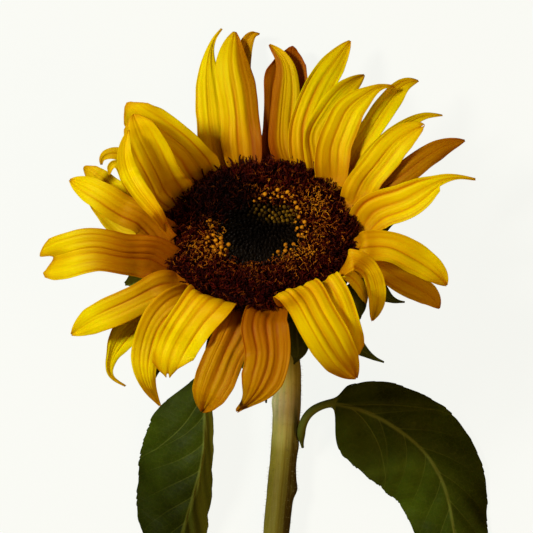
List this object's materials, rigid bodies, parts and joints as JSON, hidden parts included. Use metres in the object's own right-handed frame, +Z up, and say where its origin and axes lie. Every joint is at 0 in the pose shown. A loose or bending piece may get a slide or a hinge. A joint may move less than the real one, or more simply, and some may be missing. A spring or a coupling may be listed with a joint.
{
  "type": "cut sunflower",
  "caption": "Cut sunflower lying on its back with its head tipped up: curled yellow petals round a dark seed disc, a green stem and leaves on stalks.",
  "frame": {"origin": "centre of the object's box in X and Y, on the surface that it lies on", "axes": "+Y from the cut end of the stem towards the head, +Z up out of the surface, +X to the right seen from above with the head at the top"},
  "size_m": [0.1728, 0.3596, 0.0867],
  "materials": {
    "petal": "soft, slightly translucent",
    "open_floret": "matte, bristly",
    "floret_bud": "matte, bristly",
    "bract": "matte, hairy",
    "stem": "matte, ribbed and finely hairy",
    "leaf": "satin, veined"
  },
  "bodies": {
    "root": {"bract_01": "bract", "bract_02": "bract", "bract_03": "bract", "bract_04": "bract", "bract_05": "bract", "bract_06": "bract", "bract_07": "bract", "bract_08": "bract", "bract_09": "bract", "bract_10": "bract", "bract_11": "bract", "bract_12": "bract", "bract_13": "bract", "bract_14": "bract", "bract_15": "bract", "bract_16": "bract", "bract_17": "bract", "disc_centre_buds": "floret_bud", "disc_open_florets": "open_floret", "leaf_left": "leaf", "leaf_right": "leaf", "petal_back_left_blunt": "petal", "petal_back_left_hook": "petal", "petal_back_left_lower": "petal", "petal_back_lower_left_curl": "petal", "petal_back_right_curl": "petal", "petal_back_right_dark": "petal", "petal_back_right_lower": "petal", "petal_back_top": "petal", "petal_back_top_wide": "petal", "petal_bottom_dark": "petal", "petal_bottom_left_broad": "petal", "petal_bottom_right_lobe": "petal", "petal_bottom_right_long": "petal", "petal_bottom_wide": "petal", "petal_left_broad": "petal", "petal_left_long": "petal", "petal_left_narrow": "petal", "petal_left_strip": "petal", "petal_lower_left_arched": "petal", "petal_lower_left_long": "petal", "petal_lower_right_broad": "petal", "petal_lower_right_hanging": "petal", "petal_lower_right_strap": "petal", "petal_right_broad": "petal", "petal_right_pointed": "petal", "petal_right_slender": "petal", "petal_right_upper_broad": "petal", "petal_top_left_long": "petal", "petal_top_shaded": "petal", "petal_top_tall": "petal", "petal_upper_left_broad": "petal", "petal_upper_left_fold": "petal", "petal_upper_right_tall": "petal", "petal_upper_right_tucked": "petal", "stem": "stem"}
  },
  "joints": []
}
